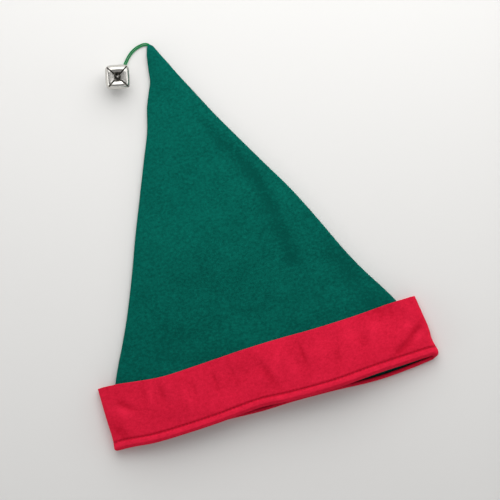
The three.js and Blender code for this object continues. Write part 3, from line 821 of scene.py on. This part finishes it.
petal_points, petal_faces, dome_starts = [], [], []
for petal in range(4):
    start = len(petal_points)
    dome_starts.append(start)
    end = along[(lean < 0) | (reach > PETAL_ENDS[petal % 2])][-1]
    shared = np.arange(0, end - LEVEL_STEP / 2, LEVEL_STEP)
    levels = np.interp(np.append(shared, end), along, lean)
    for level in levels:
        level_reach, z = (float(v) for v in bell_profile(level))
        edges = []
        for corner in (petal - 1, petal):
            diagonal = math.radians(45 + 90 * corner)
            out = float(bell_out(level_reach, level, diagonal))
            half = slit_half(corner % 4, out, z)
            edges.append(math.asin(min(half / out, 0.9)))
        turns = np.radians(90 * petal) + np.linspace(
            -math.pi / 4 + edges[0], math.pi / 4 - edges[1], PETAL_COLUMNS + 1
        )
        out = bell_out(level_reach, level, turns)
        petal_points += [(o * math.cos(t), o * math.sin(t), z) for o, t in zip(out, turns)]
    row = PETAL_COLUMNS + 1
    for i in range(len(levels) - 1):
        for j in range(PETAL_COLUMNS):
            a = start + i * row + j
            petal_faces.append([a, a + 1, a + row + 1, a + row])
# the dome's lowest ring is closed by one face
petal_faces.append([start + j for start in dome_starts for j in range(PETAL_COLUMNS)][::-1])

shell = make_piece("bell_petals", placed(petal_points), petal_faces, "bell_plate")
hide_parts("bell_shell")

# %% [markdown]
# Two petals bend in further than the other two, but all have their rows of points at the
# same heights, so neighbours share their points below the slits. Weld merges those first.
# Solidify then gives the steel its thickness inwards, and Bevel takes the sharpness off
# the cut edges, as tumbling and plating do.

# %% Give the steel its thickness
weld = shell.modifiers.new("weld", "WELD")
weld.merge_threshold = 0.01 * MM
solid = shell.modifiers.new("sheet", "SOLIDIFY")
solid.thickness = BELL_WALL * MM
solid.offset = -1
edge = shell.modifiers.new("edge", "BEVEL")
edge.width = 0.12 * MM
edge.segments = 2
edge.limit_method = "ANGLE"
edge.angle_limit = math.radians(50)

# %% [markdown]
# Below the dome, the hanger is a strip bent to an eye that the cord passes through. Its
# two legs go up through the dome and are spread inside it. One section carried along one
# bent line makes it. The loose ball rests on the spread ends.

# %% Build the hanger
STRIP_THICKNESS = 0.7
STRIP_WIDTH = 2.6
EYE_WIDTH = 3.8
EYE_DROP = 3.4
EYE_BEND = 0.5
HANGER_SEAT = -8.10917  # height of the toes' underside, on the dome's inside
TOE_END = 4.2
HANGER_TURN = math.radians(58)
CORNER_ROUND = 0.15


def arc(cx, cz, radius, start, end, steps=8):
    angle = np.radians(np.linspace(start, end, steps + 1))
    return np.column_stack([cx + radius * np.cos(angle), cz + radius * np.sin(angle)])


mid_bend = EYE_BEND + STRIP_THICKNESS / 2
leg = EYE_WIDTH / 2 + STRIP_THICKNESS / 2
eye_foot = -BELL_HEIGHT / 2 - EYE_DROP
toe_height = HANGER_SEAT + STRIP_THICKNESS / 2
bend_height = eye_foot + STRIP_THICKNESS + EYE_BEND
strip_line = np.vstack([
    [(TOE_END, toe_height)],
    arc(leg + mid_bend, toe_height - mid_bend, mid_bend, 90, 180),
    arc(leg - mid_bend, bend_height, mid_bend, 0, -90),
    arc(mid_bend - leg, bend_height, mid_bend, -90, -180),
    arc(-leg - mid_bend, toe_height - mid_bend, mid_bend, 0, 90),
    [(-TOE_END, toe_height)],
])  # fmt: skip
half_thick, half_wide = STRIP_THICKNESS / 2 - CORNER_ROUND, STRIP_WIDTH / 2 - CORNER_ROUND
section = np.vstack([
    arc(half_thick, half_wide, CORNER_ROUND, 0, 90, 3),
    arc(-half_thick, half_wide, CORNER_ROUND, 90, 180, 3),
    arc(-half_thick, -half_wide, CORNER_ROUND, 180, 270, 3),
    arc(half_thick, -half_wide, CORNER_ROUND, 270, 360, 3),
])  # fmt: skip
along = unit(np.gradient(strip_line, axis=0))
normal = np.column_stack([-along[:, 1], along[:, 0]])
strip = []
for (lx, lz), (nx, nz) in zip(strip_line, normal):
    for thick, wide in section:
        strip.append((wide, lx + nx * thick, lz + nz * thick))
c, s = math.cos(HANGER_TURN), math.sin(HANGER_TURN)
x, y, z = np.array(strip).T
strip_points = placed(np.column_stack([x * c - y * s, x * s + y * c, z]))
strip_faces = ring_faces(len(strip_line), len(section))
end = (len(strip_line) - 1) * len(section)
strip_faces += [list(range(len(section)))[::-1], list(range(end, end + len(section)))]
hanger = make_piece("bell_eye_strip", strip_points, strip_faces, "bell_plate")
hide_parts("bell_hanger")

# %% [markdown]
# The ball was cut from wire and rolled, so it isn't perfectly round. An icosphere has
# even faces with no pole, and a few slow waves push it out of round.

# %% Build the ball
BALL_RADIUS = 3.7
BALL_HEIGHT = -3.93427  # of its middle, from the bell's middle
BALL_UNEVEN = 0.05
BALL_WAVES = ((3.1, 1), (4.3, 0), (3.7, 2))  # rate and start, for each axis

start_ball = bmesh.new()
bmesh.ops.create_icosphere(start_ball, subdivisions=4, radius=1.0)
directions = np.array([v.co[:] for v in start_ball.verts])
ball_faces = [[v.index for v in face.verts] for face in start_ball.faces]
start_ball.free()
uneven = sum(np.sin(rate * directions[:, i] + start) for i, (rate, start) in enumerate(BALL_WAVES))
ball_points = directions * (BALL_RADIUS - BALL_UNEVEN + BALL_UNEVEN / 3 * uneven)[:, None]
ball_points = placed(ball_points + (0, 0, BALL_HEIGHT))
ball = make_piece("bell_ball", ball_points, ball_faces, "pellet_steel")
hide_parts("bell_pellet")

# %% [markdown]
# Materials are small graphs of nodes. Two helpers build them: one turns the sRGB colours
# that the eye reads off a picture into the linear light that the renderer needs, and one
# adds a node with its settings and links.


# %% Material helpers
def linear(hexed):
    """An sRGB colour such as #c8203c as linear red, green, blue and alpha."""
    parts = [int(hexed[i : i + 2], 16) / 255 for i in (1, 3, 5)]
    return (*[p / 12.92 if p <= 0.04045 else ((p + 0.055) / 1.055) ** 2.4 for p in parts], 1.0)


def add(tree, kind, inputs, settings=None):
    """A node with values or links in its inputs, by name or number."""
    node = tree.nodes.new(kind)
    for name, value in (settings or {}).items():
        setattr(node, name, value)
    for name, value in inputs.items():
        if isinstance(value, bpy.types.NodeSocket):
            tree.links.new(value, node.inputs[name])
        else:
            node.inputs[name].default_value = value
    return node


def new_material(name):
    """An empty material, its nodes, and the place of each point on its object."""
    material = bpy.data.materials.new(name)
    material.use_nodes = True
    material.node_tree.nodes.clear()
    place = add(material.node_tree, "ShaderNodeTexCoord", {}).outputs["Object"]
    return material, material.node_tree, place


# %% [markdown]
# Polyester felt is a mat of fine fibres, needled into each other in every direction. The
# eye gets no thread lines from it: only a cloudy, slightly uneven tone, a grain of small
# clumps about 2 mm apart, and a pale bloom at grazing angles, where light catches loose
# fibre ends. Sheen gives the bloom. Three noises stretched in crossed directions stand
# for the fibres, and the largest of them at each point is the fibre on top. A real fibre
# is 0.02 mm thick, so they are drawn near 0.9 mm to show at all.


# %% Felt
CLOUD_MM = 22.0
BLOTCH_MM = 5.0
GRAIN_MM = 2.0
GRAIN_STRETCH = (0.7, 1.0, 1.0)
FIBRE_MM = 0.9
FIBRE_STRETCH = (1.0, 0.22, 1.0)
FIBRE_TURNS = (0.6, 2.2, 3.9)


def needled_felt(name, dark, light, bloom, cloudiness, graininess):
    material, tree, place = new_material(name)
    rolled = add(tree, "ShaderNodeMapping", {"Vector": place, "Scale": GRAIN_STRETCH}).outputs[0]
    layers = [
        # coordinates, size in millimetres, detail, roughness, distortion
        (place, CLOUD_MM, 3.0, 0.5, 0.0),
        (place, BLOTCH_MM, 5.0, 0.65, 0.0),
        (rolled, GRAIN_MM, 2.0, 0.7, 0.0),
    ]
    for turn in FIBRE_TURNS:
        inputs = {"Vector": place, "Rotation": (0.3, 0.2, turn), "Scale": FIBRE_STRETCH}
        turned = add(tree, "ShaderNodeMapping", inputs).outputs[0]
        layers.append((turned, FIBRE_MM, 3.0, 0.5, 0.8))
    noises = []
    for vector, size_mm, detail, roughness, distortion in layers:
        inputs = {"Vector": vector, "Scale": 1 / (size_mm * MM), "Detail": detail}
        inputs |= {"Roughness": roughness, "Distortion": distortion}
        noises.append(add(tree, "ShaderNodeTexNoise", inputs).outputs["Fac"])
    clouds, blotches, grain, *fibres = noises
    mat = fibres[0]
    for fibre in fibres[1:]:
        mat = add(tree, "ShaderNodeMath", {0: mat, 1: fibre}, {"operation": "MAXIMUM"}).outputs[0]

    # painted shade from each felt piece: it darkens the felt, and below zero it is a painted
    # highlight
    painted_shade = add(tree, "ShaderNodeAttribute", {}, {"attribute_name": "painted_shade"})
    shade = 0.2 - 0.8 * cloudiness - 0.5 * graininess
    for source, weight in (
        (clouds, cloudiness),
        (blotches, 0.6 * cloudiness),
        (grain, graininess),
        (mat, 0.5),
        (painted_shade.outputs["Fac"], -1.0),
    ):
        inputs = {0: source, 1: weight, 2: shade}
        shade = add(tree, "ShaderNodeMath", inputs, {"operation": "MULTIPLY_ADD"}).outputs[0]
    inputs = {"Factor": shade, 6: linear(dark), 7: linear(light)}
    tone = add(tree, "ShaderNodeMix", inputs, {"data_type": "RGBA", "clamp_factor": True})
    inputs = {"Height": grain, "Strength": 0.5, "Distance": 0.4 * MM}
    coarse = add(tree, "ShaderNodeBump", inputs).outputs[0]
    inputs = {"Height": mat, "Strength": 0.7, "Distance": 0.3 * MM, "Normal": coarse}
    fine = add(tree, "ShaderNodeBump", inputs)
    look = {
        "Base Color": tone.outputs[2],
        "Roughness": 0.95,
        "IOR": 1.5,
        "Specular IOR Level": 0.04,
        "Sheen Weight": 0.4,
        "Sheen Roughness": 0.3,
        "Sheen Tint": linear(bloom),
        "Normal": fine.outputs[0],
    }
    cloth = add(tree, "ShaderNodeBsdfPrincipled", look)
    add(tree, "ShaderNodeOutputMaterial", {"Surface": cloth.outputs[0]})
    return material


green_felt = needled_felt("green_polyester_felt", "#01463d", "#056255", "#38c096", 0.5, 1.8)
red_felt = needled_felt("red_polyester_felt", "#b1112a", "#dc2140", "#ff6a7c", 0.7, 0.95)

# %% [markdown]
# Each felt piece carries a number at every point that says how much shade is painted into
# its colour: in the crease, in the dents, towards the cuff, where the lamps beyond the tip
# light the crown less, and in the groove of the stitches and their needle holes. The hem
# below them faces the light and gets a painted highlight, a number below zero.


# %% Paint shade and highlight into the felt's colour
# painted shade in the crease and in the dents, and painted highlight on the raised slack places
CREASE_SHADE, DENT_SHADE, CUFF_DENT_SHADE = 0.4, 0.28, 0.55  # for a depth of 1 mm
# painted shade: the crown gets darker towards the cuff, where the lamps beyond the tip light it
# less
MOUTH_SHADE, MOUTH_SHADE_START, MOUTH_SHADE_END = 0.18, 60, 190
# painted shade in the stitches' groove, darker at each needle hole
ROW_SHADE, ROW_WIDTH, HOLE_SHADE = 0.8, 0.8, 0.4
# painted highlight on the hem just below the stitches, where it faces the light
HEM_HIGHLIGHT, HEM_HIGHLIGHT_BELOW_ROW, HEM_HIGHLIGHT_WIDTH = 0.2, 3.4, 2.0


# stores each point's painted shade, and painted highlight below zero
def mark_painted_shade(piece, painted_shade):
    attribute = piece.data.attributes.new("painted_shade", "FLOAT", "POINT")
    attribute.data.foreach_set("value", painted_shade.astype(np.float32))
    print(piece.name, "is pressed by up to", round(float(painted_shade.max()), 2))


x, y = crown_points[:, 0], crown_points[:, 1] - MOUTH_Y
# painted shade in the crease and dents, painted highlight on the slack places
painted_shade = CREASE_SHADE * crease(x, y) - DENT_SHADE * dents(x, y)
# painted shade, darker towards the cuff
painted_shade += MOUTH_SHADE * (1 - fade(y, MOUTH_SHADE_START, MOUTH_SHADE_END))
mark_painted_shade(crown, painted_shade)

x, y = cuff_points[:, 0], cuff_points[:, 1] - MOUTH_Y
above_row = y - HEM_HEIGHT - cuff_shift(HEM_HEIGHT)(x, 1.0)
# painted shade along the row of stitches, darker at each needle hole
hole_shade = 1 + HOLE_SHADE * np.cos(2 * math.pi * x / STITCH_PITCH)
painted_shade = ROW_SHADE * hole_shade * np.exp(-((above_row / ROW_WIDTH) ** 2))
# painted highlight on the hem below the row
painted_shade -= HEM_HIGHLIGHT * np.exp(-(((above_row + HEM_HIGHLIGHT_BELOW_ROW) / HEM_HIGHLIGHT_WIDTH) ** 2))
# painted shade in the cuff's dents, painted highlight on its slack places
painted_shade -= CUFF_DENT_SHADE * dents(x, y)
mark_painted_shade(cuff, painted_shade)

crown.data.materials.append(green_felt)
cuff.data.materials.append(red_felt)

# %% [markdown]
# The stitches are spun polyester thread: the felt's red but a little deeper, with a soft
# shine. The cord is twisted rayon, a brighter green than the felt, whose smooth filaments
# shine along each strand.


# %% Thread and cord
def spun_yarn(name, dark, light, filament_mm, roughness):
    material, tree, place = new_material(name)
    inputs = {"Vector": place, "Scale": 1 / (filament_mm * MM), "Detail": 4.0, "Distortion": 0.4}
    filaments = add(tree, "ShaderNodeTexNoise", inputs).outputs["Fac"]
    inputs = {"Factor": filaments, 6: linear(dark), 7: linear(light)}
    tone = add(tree, "ShaderNodeMix", inputs, {"data_type": "RGBA"})
    inputs = {"Height": filaments, "Strength": 0.5, "Distance": 0.1 * MM}
    bump = add(tree, "ShaderNodeBump", inputs)
    look = {
        "Base Color": tone.outputs[2],
        "Roughness": roughness,
        "IOR": 1.53,
        "Specular IOR Level": 0.15,
        "Normal": bump.outputs[0],
    }
    yarn = add(tree, "ShaderNodeBsdfPrincipled", look)
    add(tree, "ShaderNodeOutputMaterial", {"Surface": yarn.outputs[0]})
    return material


thread.data.materials.append(spun_yarn("red_polyester_thread", "#7c0d22", "#a8152f", 0.15, 0.85))
cord.data.materials.append(spun_yarn("green_rayon_cord", "#06502c", "#17a15b", 0.3, 0.5))

# %% [markdown]
# Nickel plating on stamped steel is a bright, slightly warm metal. It mirrors the room,
# but stamping leaves it a little wavy and tumbling with other bells leaves fine, cloudy
# scuffs, so its roughness changes from place to place. The ball is bare steel: greyer,
# rougher and a little stained.


# %% Metals
SCUFF_MM = 1.1


def rubbed_metal(name, bright, stained, smooth, rough, wave_mm, wave_height):
    material, tree, place = new_material(name)
    inputs = {"Vector": place, "Scale": 1 / (wave_mm * MM), "Detail": 1.0}
    waviness = add(tree, "ShaderNodeTexNoise", inputs).outputs["Fac"]
    inputs = {"Vector": place, "Scale": 1 / (SCUFF_MM * MM), "Detail": 6.0, "Roughness": 0.7}
    scuffs = add(tree, "ShaderNodeTexNoise", inputs).outputs["Fac"]
    inputs = {"Factor": scuffs, 6: linear(stained), 7: linear(bright)}
    tone = add(tree, "ShaderNodeMix", inputs, {"data_type": "RGBA"})
    inputs = {"Value": scuffs, "To Min": rough, "To Max": smooth}
    worn = add(tree, "ShaderNodeMapRange", inputs)
    inputs = {"Height": waviness, "Strength": 0.6, "Distance": wave_height * MM}
    bump = add(tree, "ShaderNodeBump", inputs)
    look = {
        "Base Color": tone.outputs[2],
        "Metallic": 1.0,
        "Roughness": worn.outputs[0],
        "Normal": bump.outputs[0],
    }
    metal = add(tree, "ShaderNodeBsdfPrincipled", look)
    add(tree, "ShaderNodeOutputMaterial", {"Surface": metal.outputs[0]})
    return material


nickel = rubbed_metal("nickel_plated_steel", "#dcdad5", "#bbb8b2", 0.16, 0.34, 4.0, 0.15)
bare_steel = rubbed_metal("bare_rolled_steel", "#b9b7b2", "#7c7974", 0.18, 0.4, 2.0, 0.1)
shell.data.materials.append(nickel)
hanger.data.materials.append(nickel)
ball.data.materials.append(bare_steel)

# %% [markdown]
# The floor is a plain pale table. It isn't part of the hat. It lies 0.2 mm below zero,
# where the slow waves of the cuff's back don't reach it.

# %% Floor
FLOOR_HALF = 2.0
FLOOR_LEVEL = -0.2 * MM

floor_mesh = bpy.data.meshes.new("floor")
signs = ((-1, -1), (1, -1), (1, 1), (-1, 1))
corners = [(FLOOR_HALF * x, FLOOR_HALF * y, FLOOR_LEVEL) for x, y in signs]
floor_mesh.from_pydata(corners, [], [[0, 1, 2, 3]])
floor = bpy.data.objects.new("floor", floor_mesh)
scene.collection.objects.link(floor)
paper, tree, place = new_material("matt_white_table")
matt = add(tree, "ShaderNodeBsdfPrincipled", {"Base Color": linear("#d9d8d6"), "Roughness": 0.9})
add(tree, "ShaderNodeOutputMaterial", {"Surface": matt.outputs[0]})
floor.data.materials.append(paper)

# %% [markdown]
# The photograph's light is soft and comes mostly from beyond the tip. A big lamp there
# gives the felt its even tone and shines in the bell's rims, and a smaller one makes the
# tip a little brighter than the mouth. Weaker lamps low at the sides catch the folds. The
# room is a tent with bright walls and a dim roof, which leaves the bell's dished faces
# grey between their bright rims.

# %% Lamps and sky
HAT_MIDDLE = Vector((0, 0.13, 0))
WALL_LIGHT, ROOF_LIGHT = 1.1, 0.28
WALLS_END, ROOF_START = 0.1, 0.65  # sine of the height above the horizon


def lamp(name, place, size, power):
    data = bpy.data.lights.new(name, "AREA")
    data.shape = "RECTANGLE"
    data.size, data.size_y = size
    data.energy = power
    made = bpy.data.objects.new(name, data)
    made.location = place
    made.rotation_euler = (HAT_MIDDLE - Vector(place)).to_track_quat("-Z", "Y").to_euler()
    made.visible_camera = False
    scene.collection.objects.link(made)


lamp("soft_box_beyond_tip", (0.15, 0.68, 0.64), (1.5, 1.2), 6.2)
lamp("tip_lamp", (0.2, 0.55, 0.5), (0.9, 0.6), 2.9)
lamp("low_left", (-1.3, 0.1, 0.35), (1.0, 0.5), 3)
lamp("low_right", (1.3, 0.0, 0.35), (1.0, 0.5), 2.4)

world = bpy.data.worlds.new("pale_tent")
world.use_nodes = True
tree = world.node_tree
tree.nodes.clear()
direction = add(tree, "ShaderNodeTexCoord", {}).outputs["Generated"]
height = add(tree, "ShaderNodeSeparateXYZ", {0: direction}).outputs["Z"]
inputs = {"Value": height, "From Min": WALLS_END, "From Max": ROOF_START}
inputs |= {"To Min": WALL_LIGHT, "To Max": ROOF_LIGHT}
walls = add(tree, "ShaderNodeMapRange", inputs, {"interpolation_type": "SMOOTHSTEP"})
tent = add(tree, "ShaderNodeBackground", {"Color": (1, 1, 1, 1), "Strength": walls.outputs[0]})
add(tree, "ShaderNodeOutputWorld", {"Surface": tent.outputs[0]})
scene.world = world
scene.view_settings.view_transform = "Standard"
